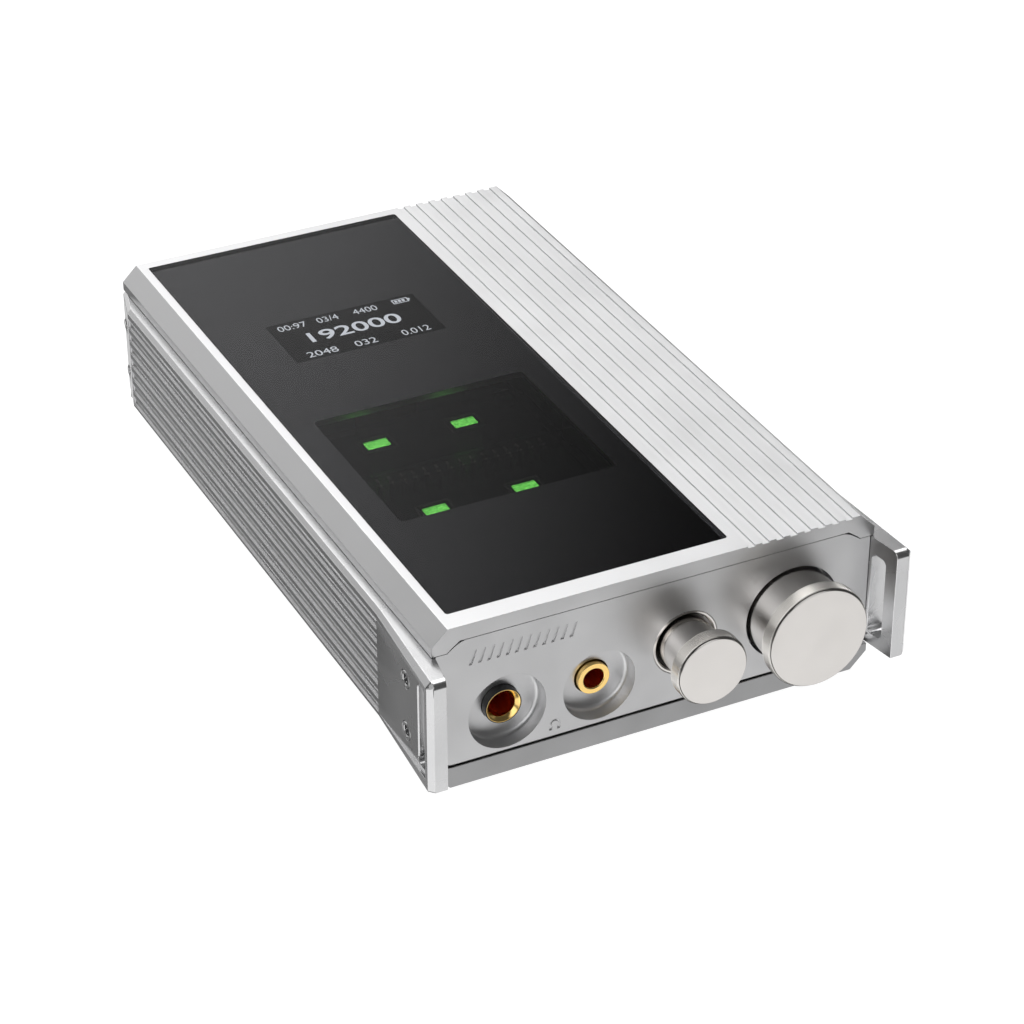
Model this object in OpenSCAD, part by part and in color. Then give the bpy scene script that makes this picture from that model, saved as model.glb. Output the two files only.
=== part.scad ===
/* [Body] */
// Width across the skirts of the upper cover
body_w = 80; // [79:0.5:82]
// Length from the front face to the rear face
body_len = 134.5; // [134:0.5:140]
// Height from the underside of the tray to the top face
body_h = 30.4; // [30.2:0.2:32]
// Size of the 45 degree chamfer along the two upper edges
top_chamfer = 2.8; // [2:0.1:3]
// Thickness of the top plate
top_t = 2.7; // [2.6:0.1:3]
// Thickness of the side walls of the upper cover
wall_t = 2.4; // [2:0.1:2.6]
// Height of the bottom tray
tray_h = 4.5; // [4.4:0.1:4.8]
// Thickness of the floor of the bottom tray
floor_t = 1.8; // [1.5:0.1:2]
// Number of grooves along the top
top_groove_count = 8; // [4:1:8]

/* [Front panel] */
// Thickness of the front panel
panel_t = 5; // [4.8:0.1:5.4]
// Depth of the dishes around the two jacks
dish_d = 3; // [2:0.1:3.2]
// Radius of the dish around the balanced jack
balanced_dish_r = 6.87; // [6:0.05:7]
// Radius of the dish around the headphone jack
headphone_dish_r = 6.5; // [6:0.05:7]

/* [Side plates] */
// How far the ribbed part stands out from the skirts
plate_proud = 2.1; // [1.6:0.1:2.4]
// How far the flared guard stands out from the skirts
guard_proud = 3.65; // [3.25:0.05:4.25]
// How far the guard reaches ahead of the front face
guard_reach = 6.55; // [5.9:0.05:6.8]
// Number of grooves along each side plate
side_groove_count = 7; // [3:1:7]

/* [Knobs] */
// Radius of the volume knob's shell
volume_shell_r = 8.15; // [7.6:0.05:8.2]
// Radius of the volume knob's knurled ring
volume_ring_r = 9.25; // [8.8:0.05:9.4]
// How far the volume knob stands out of the front face
volume_reach = 8.7; // [8.2:0.1:9.1]
// Radius of the menu knob's shell
menu_shell_r = 4.8; // [4.7:0.1:5]
// Radius of the menu knob's knurled ring
menu_ring_r = 6.35; // [6:0.05:6.5]
// How far the menu knob stands out of the front face
menu_reach = 9.2; // [9.2:0.1:9.8]
// How far the menu knob travels when it is pressed
menu_travel = 0.5; // [0.3:0.05:0.5]

/* [Jacks] */
// Bore of the headphone jack, for a 3.5 mm plug
headphone_bore_d = 3.6; // [3.6:0.05:3.8]
// Bore of the balanced jack, for a 4.4 mm plug
balanced_bore_d = 4.5; // [4.5:0.05:4.7]

/* [Window] */
// Width of the black glass
glass_w = 50.07; // [49:0.1:51]
// Length of the black glass
glass_l = 128.4; // [127:0.1:129]
// Thickness of the black glass
glass_t = 1; // [0.8:0.1:1.1]

/* [Hidden] */
$fn = 72;
eps = 0.01;
touch = 0.02;

// Heights, up from the surface that the feet stand on
foot_proud = 0.8;
bottom_z = foot_proud;
top_z = bottom_z + body_h;
floor_z = bottom_z + floor_t;
tray_z = bottom_z + tray_h;
under_z = top_z - top_t;
skirt_drop = 4.45;
skirt_z = top_z - skirt_drop;

// Lengths, with the origin midway between the menu knob's face and the rear face
front_y = -(body_len - menu_reach) / 2;
rear_y = front_y + body_len;

// Upper cover
half_w = body_w / 2;
wall_x = half_w - 0.65;
wall_in_x = wall_x - wall_t;
corner_x = wall_in_x - 1.85;
corner_z = under_z - 1.35;
groove_pitch = 2.612;
groove_w = 1.3;
groove_d = 0.35;
groove_x0 = half_w - 23.87;

// Panels
seam = 0.06;
panel_x = wall_x - 0.05;
panel_top_z = under_z - seam;
panel_bottom_z = bottom_z + 4.1;
panel_r = 2.8;
ear_x0 = panel_x - 4.4;
ear_x1 = panel_x - 2;
ear_z = skirt_z - seam;
ear_r = 4;
panel_foot_r = 0.5;
rear_t = 3;
block_x = 33;
block_l = 7;
block_top_z = skirt_z - 0.75;
block_bottom_z = tray_z + 0.4;

// Bottom tray
tray_gap = 0.22;
tray_chamfer_w = 2.95;
tray_chamfer_h = 3;
rail_x = 32.4;
lug_x = 32.4;
lug_l = 6;
lug_h = 6.8;
lug_ys = [front_y + 12, front_y + body_len / 2, rear_y - 12];
tray_screw_x = 34.6;
tray_screw_l = 7;
tray_screw_r = 1;
tray_head_r = 1.95;
tray_head_h = tray_head_r - tray_screw_r;
foot_r = 4;
foot_recess = 0.4;
foot_x = 27;
foot_ys = [front_y + 11, rear_y - 11];

// Side plates
plate_x = half_w - 0.6;
plate_out_x = half_w + plate_proud;
plate_top_z = skirt_z - 0.12;
plate_bottom_z = tray_z + 0.7;
plate_h = plate_top_z - plate_bottom_z;
guard_x = half_w + guard_proud;
guard_y = front_y - guard_reach;
guard_in_x = plate_x + 1.1;
edge_chamfer = 0.7;
guard_chamfer = 0.9;
foot_chamfer = 0.2;
flare_y = front_y + 16.2;
taper_y = rear_y - 7.5;
taper_x = half_w + 0.1;
top_corner_r = 1.2;
pocket_y = front_y - 4.7;
pocket_top_z = top_z - 6.3;
pocket_front_z = top_z - 23.3;
pocket_rear_z = top_z - 24.45;
pocket_share = 0.55;
pocket_r = 1;
side_ledge_z = top_z - 8.35;
side_groove_pitch = 2.68;
side_groove_h = 1.8;
side_groove_d = 0.3;
side_flank = 0.5;
slot_y0 = front_y - 3.95;
slot_y1 = front_y - 0.55;
slot_z0 = top_z - 23;
slot_z1 = top_z - 7.6;
slot_r = 1;
slot_chamfer = 0.22;
side_screws_at = [[front_y + 4.35, half_w + 2.6], [rear_y - 3.2, half_w + 0.9]];
side_screw_zs = [top_z - 10.35, top_z - 20.2];
side_head_r = 1.55;
side_head_h = 1.1;
side_screw_r = 1;
side_screw_l = 6;
socket_r = 1.05;
socket_d = 0.7;

// Glass, mask and display
glass_x = glass_w / 2 - 35.56;
glass_y = front_y + 3.96 + glass_l / 2;
glass_r = 0.5;
glass_gap = 0.06;
mask_t = 0.15;
pocket_d = glass_t + mask_t;
mask_z = top_z - pocket_d;
view_x = -10.08;
view_y = front_y + 95.4;
view_w = 29.05;
view_l = 14.65;
window_x = -10.35;
window_y = front_y + 50.3;
window_w = 39.7;
window_l = 35.8;
window_margin = 0.8;
oled_w = 34.5;
oled_l = 23;
oled_t = 1.4;
oled_back = 2.1;
oled_y = view_y + view_l / 2 + oled_back - oled_l / 2;
oled_gap = 0.4;
bracket_t = 1.6;
bracket_w = 37;
bracket_l = 21;

// Flat double triodes
tube_w = 45;
tube_l = 16.7;
tube_t = 5.2;
tube_x = -11.25;
tube_front_y = front_y + 43.75;
tube_rear_y = front_y + 63.35;
tube_top_z = top_z - 4.4;
tube_lid_t = 0.8;
tube_cave_w = 40;
tube_cave_l = 12.4;
tube_cave_t = 1.8;
anode_dx = 8.33;
anode_dy = 2.15;
anode_w = 4.2;
anode_l = 2.2;
anode_t = 0.2;
grid_w = 6.4;
grid_l = 4.6;
grid_bar = 0.35;
lead_count = 17;
lead_pitch = 2.2;
lead_w = 0.4;
lead_t = 0.25;
lead_l = 1.1;
lead_z = tube_top_z - 2.9;
damper_t = 1.6;
damper_r = 3;
damper_dx = 14;

// Boards
board_t = 1.6;
standoff_h = 2.6;
standoff_r = 1.9;
board_z = floor_z + standoff_h;
board_top_z = board_z + board_t;
board_x = 31.6;
board_y0 = front_y + 5.6;
board_y1 = rear_y - 5.5;
board_holes = [[-18, front_y + 12], [28, front_y + 12], [-28.5, front_y + 67],
    [28, front_y + 67], [-28.5, rear_y - 12.5], [28, rear_y - 12.5]];
screw_r = 1;
screw_head_r = 1.8;
screw_head_h = 1.3;
screw_l = 5;
screw_socket_r = 0.8;
screw_socket_d = 0.7;
chip_xs = [-22, -6];
chip_w = 10;
chip_h = 1.4;
chip_y = front_y + 50;
shield_x0 = -25;
shield_x1 = -1;
shield_y0 = front_y + 88;
shield_y1 = front_y + 108;
shield_h = 2.6;
shield_t = 0.3;
capacitor_xs = [-27 : 7.5 : 3];
capacitor_ys = [front_y + 30, front_y + 38];
capacitor_r = 3.15;
capacitor_h = 8.5;
inductor_xs = [-22, -12.5, -3];
inductor_w = 6.4;
inductor_h = 3.4;
inductor_y = front_y + 68;
tube_board_t = 1.2;
tube_board_z = tube_top_z - tube_t - damper_t - tube_board_t;
tube_board_w = 45.6;
tube_board_y0 = front_y + 30.5;
tube_board_y1 = front_y + 77;
post_r = 2;
post_xs = [tube_x - 20.6, tube_x + 20.6];
post_ys = [tube_board_y0 + 2.3, tube_board_y1 - 2.3];
control_y = front_y + 13.2;
control_t = 1.2;
control_x0 = -3.5;
control_x1 = 32;
control_z0 = board_top_z + 1.9;
control_z1 = top_z - 6.5;
flex_t = 0.2;
flex_w = 12;
flex_foot_l = 4;

// Batteries
cell_x0 = 13.5;
cell_x1 = 31;
cell_y0 = front_y + 19;
cell_l = 48;
cell_gap = 2;
cell_z0 = board_top_z + 3.2;
cell_z1 = under_z - 1.4;
cell_r = 2;
cradle_t = 0.8;
cradle_wall_h = 9;
pad_l = 30;

// Controls
control_z = top_z - 15.2;
volume_x = 25;
menu_x = 5.1;
counterbore_d = 3.6;
volume_hole_r = volume_shell_r + 0.45;
collar_r = menu_shell_r + 1.1;
collar_in_r = menu_shell_r + 0.45;
collar_l = 3;
collar_chamfer = 0.25;
ring_l = 2.3;
ring_gap = 0.3;
lip_l = 0.35;
cap_inset = 0.3;
cap_t = 0.22;
knob_back = 2.5;
shaft_inset = 1.2;
shaft_clear = 0.05;
volume_shaft_r = 3;
volume_bush_r = 3.5;
volume_body = 13.2;
volume_body_l = 7;
volume_spigot_r = 7;
volume_cave_r = 6.6;
nut_r = 5.6;
nut_t = 1.7;
menu_shaft_r = 2.5;
menu_bush_r = 3;
menu_body = 11.6;
menu_body_l = 7.7;
menu_spigot_r = 4.1;
menu_cave_r = 3.9;
dome_r = 2.3;
dome_t = 0.2;
dome_y = front_y + 11.95;
plunger_r = 2.4;
plunger_t = 1;
plunger_pin_r = 0.8;
plunger_pin_l = 0.55;
plunger_y = dome_y - dome_t - shaft_clear - menu_travel - plunger_pin_l - plunger_t;
pin_r = 0.35;
pin_dx = 2.5;
encoder_back_t = 0.5;

// Jacks
headphone_x = -10.45;
headphone_z = top_z - 18.75;
headphone_sleeve_r = 2.85;
headphone_hole_r = 3.08;
headphone_sleeve_y = front_y + 2;
headphone_sleeve_l = 4;
headphone_body_w = 8.2;
headphone_body_l = 15;
headphone_body_up = 4.1;
balanced_x = -26.87;
balanced_z = top_z - 18.63;
balanced_barrel_r = 3.2;
balanced_sleeve_r = 3;
balanced_hole_r = 3.26;
balanced_mouth_y = front_y + 1.5;
balanced_mouth_d = 0.6;
balanced_sleeve_l = 5.5;
balanced_body_w = 10.6;
balanced_body_l = 18;
balanced_body_up = 5.3;
jack_back_t = 1;
dish_fillet = 0.75;
mouth_chamfer = 0.15;

// Rear connectors
usb_xs = [-24, -10];
usb_w = 8.94;
usb_h = 3.26;
usb_wall = 0.3;
usb_l = 7.3;
usb_z = board_top_z + usb_h / 2;
usb_tongue_w = 6.7;
usb_tongue_t = 0.7;
usb_inset = 0.3;
rear_jack_r = 3;
rear_jack_l = 13;
rear_jack_w = 8.2;
rear_jack_z = board_top_z + 4.6;
digital_x = 5;
line_x = 20;

// Marks on the front panel
mark_d = 0.25;
tick_count = 12;
tick_pitch = 1.6;
tick_w = 0.55;
tick_h = 2.6;
tick_lean = 0.9;
tick_x = -33.6;
tick_z = top_z - 6.5;
icon_x = -18.45;
icon_z = top_z - 23.9;
icon_r = 1;
icon_line = 0.3;
icon_cup_w = 0.55;
icon_cup_h = 0.95;

// Placing helpers

module block(x0, x1, y0, y1, z0, z1) {
    translate([x0, y0, z0]) cube([x1 - x0, y1 - y0, z1 - z0]);
}

// A flat shape in X and Z, drawn out along +Y
module extrude_y(y0, l) {
    translate([0, y0 + l, 0]) rotate([90, 0, 0]) linear_extrude(l) children();
}

// A flat shape in Y and Z, drawn out along +X
module extrude_x(x0, l) {
    translate([x0, 0, 0]) rotate([90, 0, 90]) linear_extrude(l) children();
}

module rod_y(x, z, y0, y1, r) {
    translate([x, y0, z]) rotate([-90, 0, 0]) cylinder(h = y1 - y0, r = r);
}

module cone_y(x, z, y0, y1, r0, r1) {
    translate([x, y0, z]) rotate([-90, 0, 0]) cylinder(h = y1 - y0, r1 = r0, r2 = r1);
}

module ring_y(x, z, y0, y1, r, bore_r) {
    difference() {
        rod_y(x, z, y0, y1, r);
        rod_y(x, z, y0 - eps, y1 + eps, bore_r);
    }
}

module rod_x(y, z, x0, x1, r) {
    translate([x0, y, z]) rotate([0, 90, 0]) cylinder(h = x1 - x0, r = r);
}

module both_sides() {
    children();
    mirror([1, 0, 0]) children();
}

module rounded_rect(w, l, r) {
    square([w - 2 * r, l], center = true);
    square([w, l - 2 * r], center = true);
    for (sx = [-1, 1], sy = [-1, 1]) {
        translate([sx * (w / 2 - r), sy * (l / 2 - r)]) circle(r = r);
    }
}

function mirrored(side) = concat(side, [for (i = [len(side) - 1 : -1 : 0]) [-side[i][0], side[i][1]]]);

// Outline shared by both end panels, grown by c, with a round where each slope leaves the top edge
module panel_outline(c) {
    slope = atan((panel_top_z - ear_z) / (ear_x1 - ear_x0));
    round_x = ear_x0 - ear_r * tan(slope / 2);
    round_z = panel_top_z - ear_r;
    side = [
        for (a = [90 : -slope / 4 : 90 - slope]) [
            round_x + c + ear_r * cos(a),
            round_z + c + ear_r * sin(a)
        ],
        [ear_x1 + c, ear_z + c],
        [panel_x + c, ear_z + c],
        [panel_x + c, panel_bottom_z + panel_r]
    ];
    low_x = panel_x - panel_r;
    polygon(mirrored(side));
    translate([-low_x, panel_bottom_z - c]) square([2 * low_x, panel_r + c]);
    for (sx = [-1, 1]) {
        translate([sx * low_x, panel_bottom_z + panel_r]) circle(r = panel_r + c);
    }
}

// Housing

module cover_profile() {
    polygon(mirrored([
        [half_w - top_chamfer, top_z],
        [half_w, top_z - top_chamfer],
        [half_w, skirt_z],
        [wall_x, skirt_z],
        [wall_x, tray_z],
        [wall_in_x, tray_z],
        [wall_in_x, corner_z],
        [corner_x, under_z]
    ]));
}

module upper_cover() {
    color("gainsboro") difference() {
        union() {
            extrude_y(front_y, body_len) cover_profile();
            both_sides() for (y = lug_ys) {
                block(lug_x, wall_in_x + eps, y - lug_l / 2, y + lug_l / 2, tray_z, tray_z + lug_h);
            }
        }
        translate([glass_x, glass_y, mask_z]) linear_extrude(top_t) {
            rounded_rect(glass_w + 2 * glass_gap, glass_l + 2 * glass_gap, glass_r);
        }
        translate([view_x, oled_y, under_z - eps]) linear_extrude(top_t) {
            rounded_rect(oled_w + 2 * oled_gap, oled_l + 2 * oled_gap, glass_r);
        }
        translate([window_x, window_y, under_z - eps]) linear_extrude(top_t) {
            rounded_rect(window_w + 2 * window_margin, window_l + 2 * window_margin, 1);
        }
        for (i = [0 : top_groove_count - 1]) {
            x = groove_x0 + i * groove_pitch;
            block(x, x + groove_w, front_y - 1, rear_y + 1, top_z - groove_d, top_z + 1);
        }
        extrude_y(front_y - 1, panel_t + 1 + seam) panel_outline(seam);
        extrude_y(rear_y - rear_t - seam, rear_t + 1 + seam) panel_outline(seam);
        both_sides() {
            block(wall_in_x - 1, half_w + 1, front_y - 1, front_y + block_l + seam, tray_z - 1, skirt_z);
            block(wall_in_x - 1, half_w + 1, rear_y - block_l - seam, rear_y + 1, tray_z - 1, skirt_z);
            for (y = lug_ys) {
                translate([tray_screw_x, y, tray_z - 1]) {
                    cylinder(h = tray_screw_l - 0.5, r = tray_screw_r + touch);
                }
            }
        }
    }
}

module tray_profile() {
    polygon(mirrored([
        [half_w, tray_z],
        [half_w, bottom_z + tray_chamfer_h],
        [half_w - tray_chamfer_w, bottom_z]
    ]));
}

module bottom_tray() {
    color("silver") difference() {
        extrude_y(front_y, body_len) tray_profile();
        block(-rail_x, rail_x, front_y + rear_t, rear_y - rear_t, floor_z, tray_z + 1);
        extrude_y(front_y - 1, panel_t + 1.1) panel_outline(tray_gap);
        extrude_y(rear_y - rear_t - 0.1, rear_t + 1.1) panel_outline(tray_gap);
        both_sides() {
            for (y = lug_ys) {
                translate([tray_screw_x, y, bottom_z - 1]) cylinder(h = tray_h + 2, r = tray_screw_r + 0.1);
                translate([tray_screw_x, y, bottom_z - eps]) {
                    cylinder(h = tray_head_h, r1 = tray_head_r + 0.1, r2 = tray_screw_r + 0.1);
                }
            }
            for (y = foot_ys) {
                translate([foot_x, y, bottom_z - 1]) cylinder(h = 1 + foot_recess, r = foot_r + 0.05);
            }
        }
    }
}

// A shallow round dish with a rounded floor edge, open towards the front
module dish(x, z, r) {
    rod_y(x, z, front_y - 1, front_y + dish_d - dish_fillet, r);
    rod_y(x, z, front_y - 1, front_y + dish_d, r - dish_fillet);
    translate([x, front_y + dish_d - dish_fillet, z]) rotate([90, 0, 0]) {
        rotate_extrude() translate([r - dish_fillet, 0]) circle(r = dish_fillet);
    }
}

// A row of slanted ticks in X and Z
module tick_row() {
    for (i = [0 : tick_count - 1]) {
        x = tick_x + i * tick_pitch;
        polygon([
            [x, tick_z - tick_h / 2],
            [x + tick_w, tick_z - tick_h / 2],
            [x + tick_w + tick_lean, tick_z + tick_h / 2],
            [x + tick_lean, tick_z + tick_h / 2]
        ]);
    }
}

// A pair of headphones: a half ring and two cups
module headphone_icon() {
    difference() {
        translate([icon_x, icon_z]) circle(r = icon_r);
        translate([icon_x, icon_z]) circle(r = icon_r - icon_line);
        translate([icon_x - 2 * icon_r, icon_z - 2 * icon_r]) square([4 * icon_r, 2 * icon_r]);
    }
    for (sx = [-1, 1]) {
        translate([icon_x + sx * (icon_r - icon_cup_w / 2), icon_z - icon_cup_h / 2 + eps]) {
            square([icon_cup_w, icon_cup_h], center = true);
        }
    }
}

module end_blocks(y0, l) {
    both_sides() block(block_x, panel_x, y0, y0 + l, block_bottom_z, block_top_z);
}

// What rounds the lower front edge of the front panel, along its straight part and its two corners
module panel_foot_cut() {
    low_x = panel_x - panel_r;
    low_z = panel_bottom_z + panel_r;
    edge_y = front_y + panel_foot_r;
    difference() {
        block(-low_x, low_x, front_y - 1, edge_y, panel_bottom_z - 1, panel_bottom_z + panel_foot_r);
        rod_x(edge_y, panel_bottom_z + panel_foot_r, -half_w, half_w, panel_foot_r);
    }
    both_sides() difference() {
        block(low_x, panel_x + 1, front_y - 1, edge_y, panel_bottom_z - 1, low_z);
        rod_y(low_x, low_z, front_y - 2, edge_y + 1, panel_r - panel_foot_r);
        translate([low_x, edge_y, low_z]) rotate([90, 0, 0]) rotate_extrude() {
            translate([panel_r - panel_foot_r, 0]) circle(r = panel_foot_r);
        }
    }
}

// Threaded holes for the side screws at one end of the case
module side_screw_holes(at) {
    both_sides() for (z = side_screw_zs) {
        rod_x(at[0], z, at[1] - side_head_h - side_screw_l - 0.5, half_w, side_screw_r + touch);
    }
}

module front_panel() {
    color("silver") difference() {
        union() {
            extrude_y(front_y, panel_t) panel_outline(0);
            end_blocks(front_y + 1, block_l - 1);
        }
        dish(balanced_x, balanced_z, balanced_dish_r);
        dish(headphone_x, headphone_z, headphone_dish_r);
        rod_y(balanced_x, balanced_z, front_y, front_y + panel_t + 1, balanced_hole_r);
        rod_y(headphone_x, headphone_z, front_y, front_y + panel_t + 1, headphone_hole_r);
        rod_y(volume_x, control_z, front_y - 1, front_y + counterbore_d, volume_hole_r);
        rod_y(volume_x, control_z, front_y, front_y + panel_t + 1, volume_bush_r + 0.05);
        rod_y(menu_x, control_z, front_y - 1, front_y + counterbore_d, collar_r + touch);
        rod_y(menu_x, control_z, front_y, front_y + panel_t + 1, menu_bush_r + 0.05);
        side_screw_holes(side_screws_at[0]);
        panel_foot_cut();
        extrude_y(front_y - 1, 1 + mark_d) tick_row();
        extrude_y(front_y - 1, 1 + mark_d) headphone_icon();
    }
}

module rear_panel() {
    color("silver") difference() {
        union() {
            extrude_y(rear_y - rear_t, rear_t) panel_outline(0);
            end_blocks(rear_y - block_l, block_l - 1);
        }
        for (x = usb_xs) {
            translate([x, 0, usb_z]) extrude_y(rear_y - rear_t - 1, rear_t + 2) {
                rounded_rect(usb_w + 0.4, usb_h + 0.4, usb_h / 2);
            }
        }
        rod_y(digital_x, rear_jack_z, rear_y - rear_t - 1, rear_y + 1, rear_jack_r + 0.06);
        rod_y(line_x, rear_jack_z, rear_y - rear_t - 1, rear_y + 1, rear_jack_r + 0.06);
        side_screw_holes(side_screws_at[1]);
    }
}

// Side plates, drawn for the right-hand side

function mix(a, b, t) = a + (b - a) * t;

// At a place along the plate: its inner face, the share of the flare reached, and the upper bevel
function plate_in_x(y) = y < front_y ? mix(plate_x, guard_in_x, (front_y - y) / guard_reach) : plate_x;
function flare(y) = (flare_y - y) / (flare_y - guard_y - guard_chamfer);
function plate_bevel(y) = mix(edge_chamfer, guard_chamfer, max(0, min(1, flare(y))));

// Outline of the plate across X and Z where its outer face is at x_out
function plate_section(y, x_out) = [
    [plate_in_x(y), y, plate_bottom_z],
    [x_out - foot_chamfer, y, plate_bottom_z],
    [x_out, y, plate_bottom_z + foot_chamfer],
    [x_out, y, plate_top_z - plate_bevel(y)],
    [x_out - plate_bevel(y), y, plate_top_z],
    [plate_in_x(y), y, plate_top_z]
];

// A solid through a row of sections that all have the same number of corners
module loft(sections) {
    corners = len(sections[0]);
    rows = len(sections);
    front_cap = [[for (i = [corners - 1 : -1 : 0]) i]];
    rear_cap = [[for (i = [0 : corners - 1]) (rows - 1) * corners + i]];
    sides = [for (r = [0 : rows - 2], i = [0 : corners - 1]) let (j = (i + 1) % corners) [
        r * corners + i,
        r * corners + j,
        (r + 1) * corners + j,
        (r + 1) * corners + i
    ]];
    polyhedron(points = [for (s = sections) each s], faces = concat(front_cap, rear_cap, sides));
}

module plate_blank() {
    chamfer_y = guard_y + guard_chamfer;
    loft([
        plate_section(guard_y, guard_x - guard_chamfer),
        plate_section(chamfer_y, guard_x),
        plate_section(front_y, mix(plate_out_x, guard_x, flare(front_y))),
        plate_section(flare_y, plate_out_x),
        plate_section(taper_y, plate_out_x),
        plate_section(rear_y, taper_x)
    ]);
}

// What rounds the upper front corner of the guard and carries the bevel around it
module top_corner_cut() {
    y = guard_y + top_corner_r;
    z = plate_top_z - top_corner_r;
    cone_x = guard_x - guard_chamfer;
    difference() {
        block(half_w - 5, guard_x + 1, guard_y - 1, y, z, plate_top_z + 1);
        rod_x(y, z, half_w - 6, cone_x + eps, top_corner_r);
        translate([cone_x, y, z]) rotate([0, 90, 0]) {
            cylinder(h = guard_chamfer + eps, r1 = top_corner_r, r2 = top_corner_r - guard_chamfer - eps);
        }
    }
}

// The pocket in the guard: its floor flares by a share of what its rim does
module guard_pocket() {
    floor_x = mix(plate_out_x, guard_x, flare(pocket_y) * pocket_share);
    intersection() {
        extrude_x(half_w, guard_proud + 1) {
            polygon([
                [pocket_y, pocket_front_z],
                [flare_y, pocket_rear_z],
                [flare_y, pocket_top_z],
                [pocket_y + pocket_r, pocket_top_z],
                [pocket_y, pocket_top_z - pocket_r]
            ]);
            translate([pocket_y + pocket_r, pocket_top_z - pocket_r]) circle(r = pocket_r);
        }
        translate([0, 0, plate_bottom_z]) linear_extrude(plate_h) polygon([
            [floor_x, pocket_y],
            [plate_out_x, flare_y],
            [guard_x + 1, flare_y],
            [guard_x + 1, pocket_y]
        ]);
    }
}

// A groove along the plate: a slanted upper flank, a wall and a level ledge
module side_groove(groove_top_z, ledge_z) {
    flank_z = mix(groove_top_z, ledge_z, side_flank);
    extrude_y(flare_y, taper_y - flare_y) polygon([
        [plate_out_x - side_groove_d, ledge_z],
        [plate_out_x + 1, ledge_z],
        [plate_out_x + 1, groove_top_z],
        [plate_out_x, groove_top_z],
        [plate_out_x - side_groove_d, flank_z]
    ]);
}

// The slot through the guard, with a bevel on the rear edge that the light catches
module guard_slot() {
    rear_floor_x = mix(plate_out_x, guard_x, flare(slot_y1) * pocket_share);
    extrude_x(half_w - 5, guard_proud + 10) {
        translate([slot_y0 + slot_y1, slot_z0 + slot_z1] / 2) {
            rounded_rect(slot_y1 - slot_y0, slot_z1 - slot_z0, slot_r);
        }
    }
    translate([0, 0, slot_z0 + slot_r]) linear_extrude(slot_z1 - slot_z0 - 2 * slot_r) polygon([
        [rear_floor_x - slot_chamfer, slot_y1 - eps],
        [rear_floor_x + eps, slot_y1 + slot_chamfer],
        [guard_x, slot_y1 + slot_chamfer],
        [guard_x, slot_y1 - eps]
    ]);
}

module side_plate() {
    difference() {
        plate_blank();
        top_corner_cut();
        guard_pocket();
        guard_slot();
        for (i = [0 : side_groove_count - 1]) {
            ledge_z = side_ledge_z - i * side_groove_pitch;
            side_groove(i == 0 ? pocket_top_z : ledge_z + side_groove_h, ledge_z);
        }
        for (at = side_screws_at, z = side_screw_zs) {
            rod_x(at[0], z, half_w - 5, guard_x + 1, side_screw_r + 0.1);
            rod_x(at[0], z, at[1] - side_head_h, guard_x + 1, side_head_r + 0.1);
        }
    }
}

module left_side_plate() {
    color("darkgray") mirror([1, 0, 0]) side_plate();
}

module right_side_plate() {
    color("darkgray") side_plate();
}

// A low head with a wide hexagon socket, pointing outwards
module side_screw(y, z, head_x) {
    seat_x = head_x - side_head_h;
    difference() {
        union() {
            rod_x(y, z, seat_x - side_screw_l, seat_x + eps, side_screw_r);
            rod_x(y, z, seat_x, head_x, side_head_r);
        }
        translate([head_x - socket_d, y, z]) rotate([0, 90, 0]) cylinder(h = 1, r = socket_r, $fn = 6);
    }
}

module side_screws() {
    color("lightgray") both_sides() for (at = side_screws_at, z = side_screw_zs) {
        side_screw(at[0], z, at[1]);
    }
}

module bottom_screws() {
    color("dimgray") both_sides() for (y = lug_ys) translate([tray_screw_x, y, bottom_z]) {
        difference() {
            union() {
                cylinder(h = tray_screw_l, r = tray_screw_r);
                cylinder(h = tray_head_h, r1 = tray_head_r, r2 = tray_screw_r);
            }
            translate([0, 0, -eps]) cylinder(h = screw_socket_d, r = screw_socket_r, $fn = 6);
        }
    }
}

module rubber_feet() {
    color("black") both_sides() for (y = foot_ys) {
        translate([foot_x, y, 0]) cylinder(h = foot_proud + foot_recess, r = foot_r);
    }
}

// Window and display

module cover_glass() {
    color("black", 0.5) translate([glass_x, glass_y, top_z - glass_t]) {
        linear_extrude(glass_t) rounded_rect(glass_w, glass_l, glass_r);
    }
}

module glass_mask() {
    color("black") difference() {
        translate([glass_x, glass_y, mask_z]) linear_extrude(mask_t) rounded_rect(glass_w, glass_l, glass_r);
        translate([view_x, view_y, mask_z - 1]) linear_extrude(2) rounded_rect(view_w, view_l, 0.2);
        translate([window_x, window_y, mask_z - 1]) linear_extrude(2) rounded_rect(window_w, window_l, 1);
    }
}

module display_panel() {
    color("midnightblue") translate([view_x, oled_y, mask_z - touch - oled_t]) {
        linear_extrude(oled_t) rounded_rect(oled_w, oled_l, 0.3);
    }
}

module display_bracket() {
    color("dimgray") translate([view_x, oled_y + 1.5, under_z - touch - bracket_t]) {
        linear_extrude(bracket_t) rounded_rect(bracket_w, bracket_l, 1);
    }
}

// Tube stage. A flat double triode: a glass body with a shallow sealed chamber.
module flat_tube(y) {
    color("lightblue", 0.5) translate([tube_x, y, tube_top_z - tube_t]) difference() {
        linear_extrude(tube_t) rounded_rect(tube_w, tube_l, 0.6);
        translate([0, 0, tube_t - tube_lid_t - tube_cave_t]) {
            linear_extrude(tube_cave_t) rounded_rect(tube_cave_w, tube_cave_l, 0.8);
        }
    }
}

module front_tube() {
    flat_tube(tube_front_y);
}

module rear_tube() {
    flat_tube(tube_rear_y);
}

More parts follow.
